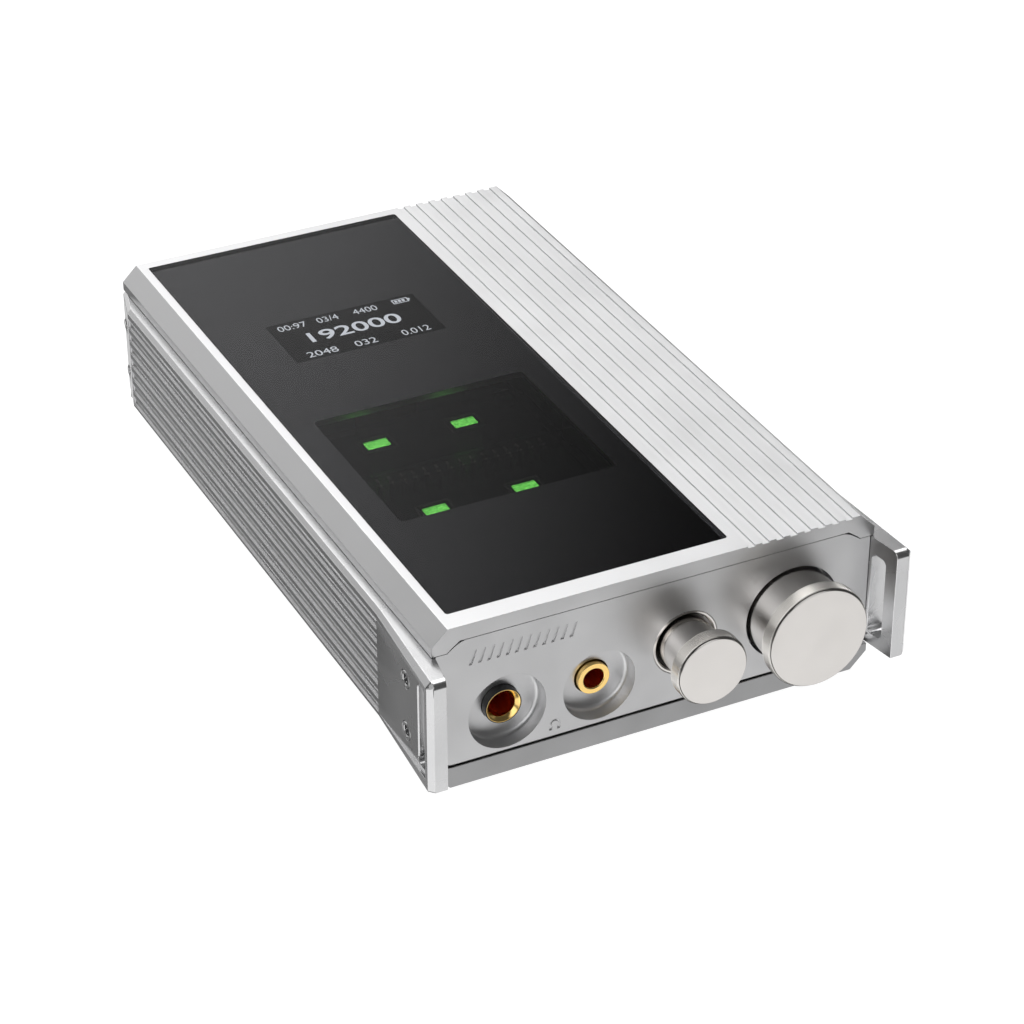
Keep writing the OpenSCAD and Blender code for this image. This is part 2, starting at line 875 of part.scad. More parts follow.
// Pins that leave the long edge of a tube and bend down to the board; way is +1 or -1 in Y
module tube_leads(y, way) {
    edge_y = y + way * tube_l / 2;
    board_top = tube_board_z + tube_board_t;
    color("goldenrod") for (i = [0 : lead_count - 1]) {
        x = tube_x + (i - (lead_count - 1) / 2) * lead_pitch;
        near_y = min(edge_y, edge_y + way * lead_l);
        foot_y = way > 0 ? edge_y + lead_l - lead_t : edge_y - lead_l;
        block(x - lead_w / 2, x + lead_w / 2, near_y, near_y + lead_l, lead_z - lead_t, lead_z);
        block(x - lead_w / 2, x + lead_w / 2, foot_y, foot_y + lead_t, board_top, lead_z);
    }
}

module front_tube_leads() {
    tube_leads(tube_front_y, 1);
}

module rear_tube_leads() {
    tube_leads(tube_rear_y, -1);
}

// Places its child at each of the four triodes, on the floor of the sealed chambers
module at_triodes() {
    cave_floor_z = tube_top_z - tube_lid_t - tube_cave_t;
    for (sx = [-1, 1], y = [tube_front_y - anode_dy, tube_rear_y + anode_dy]) {
        translate([tube_x + sx * anode_dx, y, cave_floor_z]) children();
    }
}

module tube_anodes() {
    color("limegreen") at_triodes() linear_extrude(anode_t) square([anode_w, anode_l], center = true);
}

module tube_grids() {
    color("silver") at_triodes() linear_extrude(0.3) difference() {
        square([grid_w, grid_l], center = true);
        square([grid_w - 2 * grid_bar, grid_l - 2 * grid_bar], center = true);
    }
}

module tube_dampers() {
    color("black") for (sx = [-1, 1], y = [tube_front_y, tube_rear_y]) {
        translate([tube_x + sx * damper_dx, y, tube_board_z + tube_board_t]) {
            cylinder(h = damper_t, r = damper_r);
        }
    }
}

module tube_board() {
    color("darkgreen") difference() {
        block(tube_x - tube_board_w / 2, tube_x + tube_board_w / 2, tube_board_y0, tube_board_y1,
            tube_board_z, tube_board_z + tube_board_t);
        for (x = post_xs, y = post_ys) {
            translate([x, y, tube_board_z - 1]) cylinder(h = 4, r = screw_r + 0.1);
        }
    }
}

module tube_board_posts() {
    post_h = tube_board_z - board_top_z;
    color("gold") for (x = post_xs, y = post_ys) translate([x, y, board_top_z]) difference() {
        cylinder(h = post_h, r = post_r);
        translate([0, 0, post_h - screw_l]) cylinder(h = screw_l + 1, r = screw_r + touch);
    }
}

// Boards

module main_board() {
    color("darkgreen") difference() {
        block(-board_x, board_x, board_y0, board_y1, board_z, board_top_z);
        for (p = board_holes) {
            translate([p[0], p[1], board_z - 1]) cylinder(h = 4, r = screw_r + 0.1);
        }
    }
}

module board_standoffs() {
    color("gold") for (p = board_holes) translate([p[0], p[1], floor_z]) difference() {
        cylinder(h = standoff_h, r = standoff_r);
        translate([0, 0, -1]) cylinder(h = 4, r = screw_r + touch);
    }
}

module pan_screw(x, y, z, l) {
    translate([x, y, z]) difference() {
        union() {
            translate([0, 0, -l]) cylinder(h = l + eps, r = screw_r);
            cylinder(h = screw_head_h, r = screw_head_r);
        }
        translate([0, 0, screw_head_h - screw_socket_d]) cylinder(h = 1, r = screw_socket_r, $fn = 6);
    }
}

module board_screws() {
    color("lightgray") {
        for (p = board_holes) {
            pan_screw(p[0], p[1], board_top_z, board_t + standoff_h - 0.2);
        }
        for (x = post_xs, y = post_ys) {
            pan_screw(x, y, tube_board_z + tube_board_t, tube_board_t + screw_l - 0.5);
        }
    }
}

module dac_chips() {
    color("dimgray") for (x = chip_xs) {
        block(x - chip_w / 2, x + chip_w / 2, chip_y, chip_y + chip_w, board_top_z, board_top_z + chip_h);
    }
}

// A pressed can, open towards the board
module processor_shield() {
    roof_z = board_top_z + shield_h;
    color("silver") difference() {
        block(shield_x0, shield_x1, shield_y0, shield_y1, board_top_z, roof_z);
        block(shield_x0 + shield_t, shield_x1 - shield_t, shield_y0 + shield_t, shield_y1 - shield_t,
            board_top_z - 1, roof_z - shield_t);
    }
}

module filter_capacitors() {
    color("navy") for (x = capacitor_xs, y = capacitor_ys) {
        translate([x, y, board_top_z]) cylinder(h = capacitor_h, r = capacitor_r);
    }
}

module power_inductors() {
    half = inductor_w / 2;
    color("dimgray") for (x = inductor_xs) {
        block(x - half, x + half, inductor_y, inductor_y + inductor_w,
            board_top_z, board_top_z + inductor_h);
    }
}

// Flat cables from the display and from the control board down to the main board
module ribbon_cables() {
    drop_y = oled_y - oled_l / 2 + 0.3;
    oled_under_z = mask_z - touch - oled_t;
    turn_y = control_y + control_t;
    turn_z = control_z - 4;
    rear_y0 = turn_y + 3 - flex_t;
    color("sienna") {
        translate([view_x - flex_w / 2, 0, 0]) {
            block(0, flex_w, drop_y, drop_y + 2, oled_under_z - flex_t, oled_under_z);
            block(0, flex_w, drop_y, drop_y + flex_t, board_top_z, oled_under_z);
            block(0, flex_w, drop_y, drop_y + flex_foot_l, board_top_z, board_top_z + flex_t);
        }
        translate([menu_x - flex_w / 2, 0, 0]) {
            block(0, flex_w, turn_y, turn_y + 3, turn_z, turn_z + flex_t);
            block(0, flex_w, rear_y0, rear_y0 + flex_t, board_top_z, turn_z + flex_t);
            block(0, flex_w, rear_y0, rear_y0 + flex_foot_l, board_top_z, board_top_z + flex_t);
        }
    }
}

// Batteries

module battery_cell(y0) {
    color("steelblue") translate([(cell_x0 + cell_x1) / 2, 0, (cell_z0 + cell_z1) / 2]) {
        extrude_y(y0, cell_l) rounded_rect(cell_x1 - cell_x0, cell_z1 - cell_z0, cell_r);
    }
}

module front_battery_cell() {
    battery_cell(cell_y0);
}

module rear_battery_cell() {
    battery_cell(cell_y0 + cell_l + cell_gap);
}

module battery_cradle() {
    x0 = cell_x0 - cradle_t;
    x1 = cell_x1 + cradle_t;
    y0 = cell_y0 - 1;
    y1 = cell_y0 + 2 * cell_l + cell_gap + 1;
    color("black") difference() {
        block(x0, x1, y0, y1, board_top_z, cell_z0 + cradle_wall_h);
        block(cell_x0 - touch, cell_x1 + touch, y0 - 1, y1 + 1, cell_z0 - touch, top_z);
        block(cell_x0 + 1, cell_x1 - 1, y0 - 1, y1 + 1, board_top_z - 1, cell_z0 - cradle_t);
    }
}

module battery_pads() {
    color("gray") for (i = [0, 1]) {
        y = cell_y0 + cell_l / 2 + i * (cell_l + cell_gap);
        block(cell_x0 + 2, cell_x1 - 2, y - pad_l / 2, y + pad_l / 2, cell_z1 + touch, under_z - touch);
    }
}

module control_board() {
    color("darkgreen") {
        block(control_x0, control_x1, control_y, control_y + control_t, control_z0, control_z1);
    }
}

// Jacks

module headphone_jack_body() {
    y0 = front_y + panel_t + touch;
    y1 = y0 + headphone_body_l;
    half = headphone_body_w / 2;
    color("black") difference() {
        block(headphone_x - half, headphone_x + half, y0, y1, board_top_z, headphone_z + headphone_body_up);
        rod_y(headphone_x, headphone_z, y0 - 1, y1 - jack_back_t, headphone_sleeve_r + touch);
    }
}

module headphone_jack_liner() {
    y0 = headphone_sleeve_y + headphone_sleeve_l;
    y1 = front_y + panel_t + headphone_body_l - jack_back_t;
    color("darkred") ring_y(headphone_x, headphone_z, y0, y1, headphone_sleeve_r, headphone_bore_d / 2);
}

module headphone_jack_sleeve() {
    y0 = headphone_sleeve_y;
    bore_r = headphone_bore_d / 2;
    color("gold") difference() {
        ring_y(headphone_x, headphone_z, y0, y0 + headphone_sleeve_l, headphone_sleeve_r, bore_r);
        cone_y(headphone_x, headphone_z, y0 - eps, y0 + mouth_chamfer, bore_r + mouth_chamfer, bore_r - eps);
    }
}

module balanced_jack_body() {
    y0 = front_y + panel_t + touch;
    y1 = y0 + balanced_body_l;
    half = balanced_body_w / 2;
    color("black") difference() {
        block(balanced_x - half, balanced_x + half, y0, y1, board_top_z, balanced_z + balanced_body_up);
        rod_y(balanced_x, balanced_z, y0 - 1, y1 - jack_back_t, balanced_barrel_r + touch);
    }
}

module balanced_jack_barrel() {
    y1 = front_y + panel_t + balanced_body_l - jack_back_t;
    bore_r = balanced_sleeve_r + touch;
    color("black") ring_y(balanced_x, balanced_z, balanced_mouth_y, y1, balanced_barrel_r, bore_r);
}

module balanced_jack_sleeve() {
    y0 = balanced_mouth_y;
    bore_r = balanced_bore_d / 2;
    mouth_r = balanced_sleeve_r - 0.05;
    color("gold") difference() {
        ring_y(balanced_x, balanced_z, y0, y0 + balanced_sleeve_l, balanced_sleeve_r, bore_r);
        cone_y(balanced_x, balanced_z, y0 - eps, y0 + balanced_mouth_d, mouth_r, bore_r - eps);
    }
}

module balanced_jack_liner() {
    y0 = balanced_mouth_y + balanced_sleeve_l;
    y1 = front_y + panel_t + balanced_body_l - jack_back_t;
    color("darkred") ring_y(balanced_x, balanced_z, y0, y1, balanced_sleeve_r, balanced_bore_d / 2);
}

// Rear connectors

module usb_c_ports() {
    y1 = rear_y - usb_inset;
    color("silver") for (x = usb_xs) translate([x, 0, usb_z]) {
        difference() {
            extrude_y(y1 - usb_l, usb_l) rounded_rect(usb_w, usb_h, usb_h / 2 - eps);
            extrude_y(y1 - usb_l + 1, usb_l) {
                rounded_rect(usb_w - 2 * usb_wall, usb_h - 2 * usb_wall, usb_h / 2 - usb_wall - eps);
            }
        }
        extrude_y(y1 - usb_l + 0.5, usb_l - 1.5) square([usb_tongue_w, usb_tongue_t], center = true);
    }
}

module rear_jack(x) {
    y0 = rear_y - rear_t - touch;
    half = rear_jack_w / 2;
    color("black") difference() {
        union() {
            block(x - half, x + half, y0 - rear_jack_l, y0, board_top_z, rear_jack_z + half);
            rod_y(x, rear_jack_z, y0 - 1, rear_y - 0.2, rear_jack_r);
        }
        rod_y(x, rear_jack_z, y0 - rear_jack_l + jack_back_t, rear_y + 1, headphone_bore_d / 2);
    }
}

module digital_input_jack() {
    rear_jack(digital_x);
}

module line_output_jack() {
    rear_jack(line_x);
}

// Volume control

// Three solder pins between an encoder's back and the control board
module encoder_pins(x, half, back_y) {
    for (dx = [-pin_dx, 0, pin_dx]) {
        rod_y(x + dx, control_z - half + 1, back_y - eps, control_y, pin_r);
    }
}

module volume_encoder_body() {
    y0 = front_y + panel_t + touch;
    y1 = y0 + volume_body_l;
    half = volume_body / 2;
    color("dimgray") {
        difference() {
            block(volume_x - half, volume_x + half, y0, y1, control_z - half, control_z + half);
            rod_y(volume_x, control_z, y0 - 1, y1 - encoder_back_t, volume_shaft_r + shaft_clear);
        }
        encoder_pins(volume_x, half, y1);
    }
}

module volume_encoder_bushing() {
    y0 = front_y + counterbore_d - nut_t - 0.4;
    color("silver") {
        ring_y(volume_x, control_z, y0, front_y + panel_t, volume_bush_r, volume_shaft_r + shaft_clear);
    }
}

module volume_encoder_nut() {
    y1 = front_y + counterbore_d;
    color("gold") translate([volume_x, y1 - nut_t, control_z]) rotate([-90, 0, 0]) difference() {
        cylinder(h = nut_t, r = nut_r, $fn = 6);
        translate([0, 0, -1]) cylinder(h = nut_t + 2, r = volume_bush_r + touch);
    }
}

module volume_shaft() {
    y0 = front_y - volume_reach + shaft_inset;
    y1 = front_y + panel_t + volume_body_l - 1;
    color("lightgray") rod_y(volume_x, control_z, y0, y1, volume_shaft_r);
}

// A hollow shell with a narrower spigot in front that carries the knurled ring
module knob_shell(x, reach, shell_r, spigot_r, cave_r, shaft_r) {
    face_y = front_y - reach;
    shoulder_y = face_y + ring_gap + ring_l;
    difference() {
        union() {
            rod_y(x, control_z, shoulder_y, front_y + knob_back, shell_r);
            rod_y(x, control_z, face_y + ring_gap, shoulder_y + eps, spigot_r);
        }
        rod_y(x, control_z, shoulder_y + 3, front_y + knob_back + 1, cave_r);
        rod_y(x, control_z, face_y + shaft_inset - 0.05, front_y, shaft_r + touch);
    }
}

module knob_ring(x, reach, ring_r, spigot_r, shell_r) {
    y0 = front_y - reach + ring_gap;
    y1 = y0 + ring_l;
    difference() {
        rod_y(x, control_z, y0, y1, ring_r);
        rod_y(x, control_z, y0 - 1, y1 + 1, spigot_r + touch);
    }
    ring_y(x, control_z, y1 - eps, y1 + lip_l, shell_r + 0.25, shell_r + touch);
}

module knob_cap(x, reach, ring_r, spigot_r) {
    y0 = front_y - reach;
    rod_y(x, control_z, y0, y0 + cap_t, ring_r - cap_inset);
    rod_y(x, control_z, y0, y0 + ring_gap - touch, spigot_r);
}

module volume_knob_shell() {
    color("lightgray") {
        knob_shell(volume_x, volume_reach, volume_shell_r, volume_spigot_r, volume_cave_r, volume_shaft_r);
    }
}

module volume_knob_ring() {
    color("silver") knob_ring(volume_x, volume_reach, volume_ring_r, volume_spigot_r, volume_shell_r);
}

module volume_knob_cap() {
    color("lightgray") knob_cap(volume_x, volume_reach, volume_ring_r, volume_spigot_r);
}

// Menu control

module menu_knob_collar() {
    color("silver") translate([menu_x, front_y, control_z]) rotate([-90, 0, 0]) rotate_extrude() {
        polygon([
            [collar_in_r, collar_chamfer],
            [collar_in_r + collar_chamfer, 0],
            [collar_r - collar_chamfer / 2, 0],
            [collar_r, collar_chamfer / 2],
            [collar_r, collar_l],
            [collar_in_r, collar_l]
        ]);
    }
}

module menu_encoder_body() {
    y0 = front_y + panel_t + touch;
    y1 = y0 + menu_body_l;
    half = menu_body / 2;
    color("dimgray") {
        difference() {
            union() {
                block(menu_x - half, menu_x + half, y0, y1, control_z - half, control_z + half);
                rod_y(menu_x, control_z, front_y + counterbore_d, y0 + 1, menu_bush_r);
            }
            rod_y(menu_x, control_z, front_y, y1 - encoder_back_t, menu_shaft_r + shaft_clear);
        }
        encoder_pins(menu_x, half, y1);
    }
}

module menu_switch_plunger() {
    y1 = plunger_y + plunger_t;
    color("white") {
        rod_y(menu_x, control_z, plunger_y, y1, plunger_r);
        rod_y(menu_x, control_z, y1 - eps, y1 + plunger_pin_l, plunger_pin_r);
    }
}

module menu_switch_dome() {
    color("gold") {
        rod_y(menu_x, control_z, dome_y, dome_y + dome_t, dome_r);
        rod_y(menu_x, control_z, dome_y - dome_t, dome_y + eps, 1);
    }
}

module menu_shaft() {
    y0 = front_y - menu_reach + shaft_inset;
    color("lightgray") rod_y(menu_x, control_z, y0, plunger_y - touch, menu_shaft_r);
}

module menu_knob_shell() {
    color("lightgray") {
        knob_shell(menu_x, menu_reach, menu_shell_r, menu_spigot_r, menu_cave_r, menu_shaft_r);
    }
}

module menu_knob_ring() {
    color("silver") knob_ring(menu_x, menu_reach, menu_ring_r, menu_spigot_r, menu_shell_r);
}

module menu_knob_cap() {
    color("lightgray") knob_cap(menu_x, menu_reach, menu_ring_r, menu_spigot_r);
}

upper_cover();
bottom_tray();
front_panel();
rear_panel();
left_side_plate();
right_side_plate();
side_screws();
bottom_screws();
rubber_feet();
cover_glass();
glass_mask();
display_panel();
display_bracket();
front_tube();
rear_tube();
front_tube_leads();
rear_tube_leads();
tube_anodes();
tube_grids();
tube_dampers();
tube_board();
tube_board_posts();
main_board();
board_standoffs();
board_screws();
dac_chips();
processor_shield();
filter_capacitors();
power_inductors();
ribbon_cables();
front_battery_cell();
rear_battery_cell();
battery_cradle();
battery_pads();
control_board();
headphone_jack_body();
headphone_jack_liner();
headphone_jack_sleeve();
balanced_jack_body();
balanced_jack_liner();
balanced_jack_barrel();
balanced_jack_sleeve();
usb_c_ports();
digital_input_jack();
line_output_jack();
menu_knob_collar();
volume_encoder_body();
volume_encoder_bushing();
volume_encoder_nut();
volume_shaft();
volume_knob_shell();
volume_knob_ring();
volume_knob_cap();
menu_encoder_body();
menu_switch_plunger();
menu_switch_dome();
menu_shaft();
menu_knob_shell();
menu_knob_ring();
menu_knob_cap();
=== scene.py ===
"""Looks of the desktop headphone amplifier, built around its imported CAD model. Metres throughout."""

import itertools
import math
import random

import bmesh
import bpy
from mathutils import Matrix, Vector


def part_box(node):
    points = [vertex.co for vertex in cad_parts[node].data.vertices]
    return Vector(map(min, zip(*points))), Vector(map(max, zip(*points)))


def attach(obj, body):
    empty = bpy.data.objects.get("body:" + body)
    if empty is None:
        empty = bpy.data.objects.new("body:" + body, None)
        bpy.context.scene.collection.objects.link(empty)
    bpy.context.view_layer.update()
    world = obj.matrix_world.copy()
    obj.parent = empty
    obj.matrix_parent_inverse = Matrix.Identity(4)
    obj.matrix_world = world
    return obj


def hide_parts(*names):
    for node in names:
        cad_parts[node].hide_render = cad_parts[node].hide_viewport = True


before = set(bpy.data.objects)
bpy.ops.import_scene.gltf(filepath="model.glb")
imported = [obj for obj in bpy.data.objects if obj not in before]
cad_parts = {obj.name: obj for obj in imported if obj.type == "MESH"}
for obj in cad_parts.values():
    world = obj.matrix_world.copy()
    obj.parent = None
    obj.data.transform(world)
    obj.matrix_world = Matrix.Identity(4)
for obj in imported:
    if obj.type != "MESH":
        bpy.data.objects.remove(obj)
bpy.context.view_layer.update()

MM = 0.001
TAU = 2 * math.pi

# The view, as an orbit round a point inside the case
VIEW_AZIMUTH = math.radians(-26.41)
VIEW_ELEVATION = math.radians(32.03)
VIEW_DISTANCE = 565.6 * MM
VIEW_TARGET = Vector((2.3, -5.4, 9.5)) * MM
LENS = 113.3
SENSOR = 36.0

# Colours, linear
SILVER = (0.74, 0.74, 0.745)
GREY_SILVER = (0.70, 0.70, 0.705)
KNOB_SILVER = (0.73, 0.705, 0.68)
STEEL = (0.62, 0.62, 0.63)
GOLD = (0.95, 0.66, 0.24)

# The side screws' heads, the depth of their sockets and how much further in the rear pair sits
SIDE_HEAD_R = 1.55 * MM
SIDE_SOCKET_D = 0.7 * MM
SIDE_HEAD_STEP = 1.7 * MM


# ---------------------------------------------------------------- node trees


def add(tree, kind, **settings):
    """A new node of that kind; settings name its properties, or its input sockets."""
    node = tree.nodes.new(kind)
    for name, value in settings.items():
        if hasattr(node, name):
            setattr(node, name, value)
        else:
            node.inputs[name.replace("_", " ").title()].default_value = value
    return node


def new_material(name, colour, roughness, metallic=0.0, **sockets):
    """(material, its node tree, its Principled shader) with plain values on the shader's own sockets."""
    made = bpy.data.materials.new(name)
    made.use_nodes = True
    tree = made.node_tree
    shader = tree.nodes["Principled BSDF"]
    shader.inputs["Base Color"].default_value = (*colour, 1)
    shader.inputs["Roughness"].default_value = roughness
    shader.inputs["Metallic"].default_value = metallic
    for socket, value in sockets.items():
        shader.inputs[socket].default_value = value
    return made, tree, shader


def noise(tree, size, stretch=(1, 1, 1), detail=2.0):
    """The factor of a noise whose features are about size metres across, longer along the stretched axes."""
    place = add(tree, "ShaderNodeTexCoord")
    scale = add(tree, "ShaderNodeMapping")
    scale.inputs["Scale"].default_value = [1 / (size * s) for s in stretch]
    made = add(tree, "ShaderNodeTexNoise", Scale=1.0, Detail=detail)
    tree.links.new(place.outputs["Object"], scale.inputs["Vector"])
    tree.links.new(scale.outputs["Vector"], made.inputs["Vector"])
    return made.outputs["Fac"]


def spread(tree, factor, low, high):
    """That factor's middle stretched to run from low to high."""
    made = add(tree, "ShaderNodeMapRange")
    for socket, value in zip(("From Min", "From Max", "To Min", "To Max"), (0.3, 0.7, low, high)):
        made.inputs[socket].default_value = value
    tree.links.new(factor, made.inputs["Value"])
    return made.outputs["Result"]


def tint(tree, shader, factor, colour, amount):
    """The base colour wanders by that share either side of colour."""
    mix = add(tree, "ShaderNodeMix", data_type="RGBA")
    mix.inputs["A"].default_value = (*[c * (1 - amount) for c in colour], 1)
    mix.inputs["B"].default_value = (*[min(1, c * (1 + amount)) for c in colour], 1)
    tree.links.new(factor, mix.inputs["Factor"])
    tree.links.new(mix.outputs["Result"], shader.inputs["Base Color"])


def bump(tree, shader, factor, strength, depth):
    made = add(tree, "ShaderNodeBump")
    made.inputs["Strength"].default_value = strength
    made.inputs["Distance"].default_value = depth
    tree.links.new(factor, made.inputs["Height"])
    tree.links.new(made.outputs["Normal"], shader.inputs["Normal"])


def grained(name, colour, roughness, metallic=0.0, grain=0.15 * MM, relief=0.1, depth=0.01 * MM,
            stretch=(1, 1, 1), amount=0.03, wander=0.03, cloud=9 * MM, **sockets):
    """A finish with a fine grain in its relief, and slow drifts of colour and roughness over the part."""
    made, tree, shader = new_material(name, colour, roughness, metallic, **sockets)
    fine = noise(tree, grain, stretch, detail=3.0)
    slow = noise(tree, cloud)
    tint(tree, shader, spread(tree, fine, 0, 1), colour, amount)
    tree.links.new(spread(tree, slow, roughness - wander, roughness + wander), shader.inputs["Roughness"])
    bump(tree, shader, fine, relief, depth)
    return made


# ---------------------------------------------------------------- materials by slot


def anodised_silver():
    return grained("anodised_silver", SILVER, 0.42, 1.0, grain=0.12 * MM, relief=0.15, amount=0.02)


def anodised_grey():
    return grained("anodised_grey", GREY_SILVER, 0.28, 1.0, grain=0.12 * MM, relief=0.12, amount=0.02,
                   stretch=(1, 1, 6))


# Painted shade: the case's silver made darker for the tray, which sits lower and in shade.
def shaded_tray_metal():
    return grained("shaded_tray_metal", (0.39, 0.39, 0.393), 0.32, 1.0, grain=0.12 * MM, relief=0.12, amount=0.02)


def knob_metal():
    return grained("knob_metal", KNOB_SILVER, 0.2, 1.0, grain=0.12 * MM, relief=0.15, amount=0.02)


def knurled_metal():
    return grained("knurled_metal", (0.72, 0.70, 0.67), 0.22, 1.0, grain=0.1 * MM, relief=0.1, amount=0.04)


def screw_steel():
    return grained("screw_steel", (0.82, 0.82, 0.82), 0.36, 1.0, grain=0.1 * MM, relief=0.1, amount=0.06)


# Also the painted shade in the knobs' front recesses and in the side screws' sockets.
def dark_steel():
    return grained("dark_steel", (0.03, 0.03, 0.033), 0.36, 0.6, grain=0.1 * MM, relief=0.2, amount=0.15)


def shaft_steel():
    return grained("shaft_steel", STEEL, 0.22, 1.0, grain=0.08 * MM, relief=0.2,
                   stretch=(1, 1, 0.1), amount=0.05)


def foot_rubber():
    return grained("foot_rubber", (0.012, 0.012, 0.012), 0.7, grain=0.25 * MM, relief=0.5, depth=0.03 * MM,
                   amount=0.2)


def window_glass():
    """Smoked glass, its tint drifting very slightly."""
    colour = (0.42, 0.42, 0.43)
    made, tree, shader = new_material(
        "window_glass", colour, 0.0, **{"Transmission Weight": 1.0, "IOR": 1.2})
    tint(tree, shader, noise(tree, 14 * MM), colour, 0.02)
    return made


def mask_film():
    return grained("mask_film", (0.17, 0.17, 0.172), 0.06, 1.0, grain=0.3 * MM, relief=0.0, amount=0.02,
                   wander=0.01)


def display_face():
    return grained("display_face", (0.003, 0.003, 0.0035), 0.4, grain=0.2 * MM, relief=0.05, amount=0.2,
                   **{"Specular IOR Level": 0.04})


def black_plastic():
    return grained("black_plastic", (0.012, 0.012, 0.012), 0.32, grain=0.2 * MM, relief=0.3, depth=0.02 * MM,
                   amount=0.2)


def tube_glass():
    made, tree, shader = new_material(
        "tube_glass", (0.5, 0.52, 0.5), 0.03,
        **{"Transmission Weight": 1.0, "IOR": 1.04, "Specular IOR Level": 0.1})
    ripple = noise(tree, 4 * MM)
    bump(tree, shader, ripple, 0.15, 0.02 * MM)
    return made


def lead_wire():
    return grained("lead_wire", (0.22, 0.20, 0.18), 0.3, 1.0, relief=0.2, amount=0.1)


def lit_anode():
    """A phosphor that glows green through its fine grid."""
    made, tree, shader = new_material("lit_anode", (0.02, 0.12, 0.03), 0.6, **{"Emission Strength": 3.6})
    dots = noise(tree, 0.35 * MM)
    mix = add(tree, "ShaderNodeMix", data_type="RGBA")
    mix.inputs["A"].default_value = (0.04, 0.34, 0.03, 1)
    mix.inputs["B"].default_value = (0.30, 1.0, 0.18, 1)
    tree.links.new(spread(tree, dots, 0, 1), mix.inputs["Factor"])
    tree.links.new(mix.outputs["Result"], shader.inputs["Emission Color"])
    return made


def grid_wire():
    return grained("grid_wire", (0.10, 0.10, 0.09), 0.4, 1.0, amount=0.1)


def circuit_board():
    """Dark solder mask with the paler lines of its traces."""
    made, tree, shader = new_material("circuit_board", (0.006, 0.02, 0.012), 0.35)
    place = add(tree, "ShaderNodeTexCoord")
    lines = add(tree, "ShaderNodeTexBrick")
    lines.inputs["Scale"].default_value = 1 / (6 * MM)
    lines.inputs["Mortar Size"].default_value = 0.02
    lines.inputs["Color1"].default_value = (0.006, 0.022, 0.013, 1)
    lines.inputs["Color2"].default_value = (0.005, 0.016, 0.010, 1)
    lines.inputs["Mortar"].default_value = (0.02, 0.06, 0.03, 1)
    tree.links.new(place.outputs["Object"], lines.inputs["Vector"])
    tree.links.new(lines.outputs["Color"], shader.inputs["Base Color"])
    bump(tree, shader, lines.outputs["Fac"], 0.2, 0.03 * MM)
    return made


def brass_post():
    return grained("brass_post", (0.78, 0.56, 0.28), 0.28, 1.0, relief=0.15, amount=0.06)


def chip_epoxy():
    return grained("chip_epoxy", (0.02, 0.02, 0.021), 0.55, grain=0.15 * MM, relief=0.4, depth=0.02 * MM,
                   amount=0.2)


def tin_plate():
    return grained("tin_plate", (0.6, 0.6, 0.58), 0.3, 1.0, relief=0.15, amount=0.06)


def capacitor_sleeve():
    return grained("capacitor_sleeve", (0.015, 0.02, 0.05), 0.35, grain=0.3 * MM, relief=0.2, amount=0.2)


def flex_film():
    return grained("flex_film", (0.30, 0.13, 0.03), 0.35, grain=0.5 * MM, relief=0.3,
                   stretch=(0.3, 8, 1), amount=0.25)


def battery_pouch():
    return grained("battery_pouch", (0.32, 0.33, 0.34), 0.35, 0.7, grain=1.2 * MM, relief=0.5,
                   depth=0.05 * MM, amount=0.08)


def foam_pad():
    return grained("foam_pad", (0.03, 0.03, 0.03), 0.9, grain=0.4 * MM, relief=0.9, depth=0.1 * MM,
                   amount=0.3)


def gold_contact():
    return grained("gold_contact", GOLD, 0.16, 1.0, grain=0.1 * MM, relief=0.08, amount=0.04)


def red_plastic():
    return grained("red_plastic", (0.5, 0.045, 0.02), 0.4, grain=0.2 * MM, relief=0.3, amount=0.2)


def encoder_case():
    return grained("encoder_case", (0.5, 0.5, 0.48), 0.35, 1.0, relief=0.2, amount=0.08)


def white_plastic():
    return grained("white_plastic", (0.7, 0.7, 0.68), 0.4, grain=0.3 * MM, relief=0.2, amount=0.03)


SLOTS = (
    anodised_silver, anodised_grey, knob_metal, knurled_metal, screw_steel, dark_steel, shaft_steel,
    foot_rubber, window_glass, mask_film, display_face, black_plastic, tube_glass, lead_wire, lit_anode,
    grid_wire, circuit_board, brass_post, chip_epoxy, tin_plate, capacitor_sleeve, flex_film,
    battery_pouch, foam_pad, gold_contact, red_plastic, encoder_case, white_plastic,
)
materials = {make.__name__: make() for make in SLOTS}


def dress_nodes():
    """Every CAD node takes the material of its own slot, and the tray a darker copy of the silver that is
    painted shade.
    """
    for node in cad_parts.values():
        for socket in node.material_slots:
            name = socket.material.name.split(".")[0]
            socket.material = materials[name]
    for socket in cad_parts["bottom_tray"].material_slots:
        socket.material = shaded_tray_metal()


# ---------------------------------------------------------------- edges


def welded(node):
    """That CAD node, with the corners of its faces joined up."""
    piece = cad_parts[node]
    weld = piece.modifiers.new("weld", "WELD")
    weld.merge_threshold = 0.002 * MM
    return piece


def soften(node, width, sides=2, dissolve=True, crease=None):
    """Rounds a CAD node's hard edges; folds sharper than crease degrees are shaded as folds."""
    piece = welded(node)
    if dissolve:
        flat = piece.modifiers.new("flat", "DECIMATE")
        flat.decimate_type = "DISSOLVE"
        flat.angle_limit = math.radians(0.3)
    bevel = piece.modifiers.new("bevel", "BEVEL")
    bevel.width = width
    bevel.segments = sides
    bevel.limit_method = "ANGLE"
    bevel.angle_limit = math.radians(32)
    bevel.use_clamp_overlap = False
    bevel.loop_slide = False
    if crease:
        fold = piece.modifiers.new("fold", "EDGE_SPLIT")
        fold.split_angle = math.radians(crease)
        fold.use_edge_sharp = False
    shade = piece.modifiers.new("shade", "WEIGHTED_NORMAL")
    shade.mode = "FACE_AREA"
    shade.weight = 100
    shade.keep_sharp = False


def shrink(node, depth):
    """Draws a CAD node's faces in by a hair, clear of the faces of the node that it touches."""
    inward = welded(node).modifiers.new("inward", "DISPLACE")
    inward.direction = "NORMAL"
    inward.mid_level = 0.0
    inward.strength = -depth


# ---------------------------------------------------------------- pieces


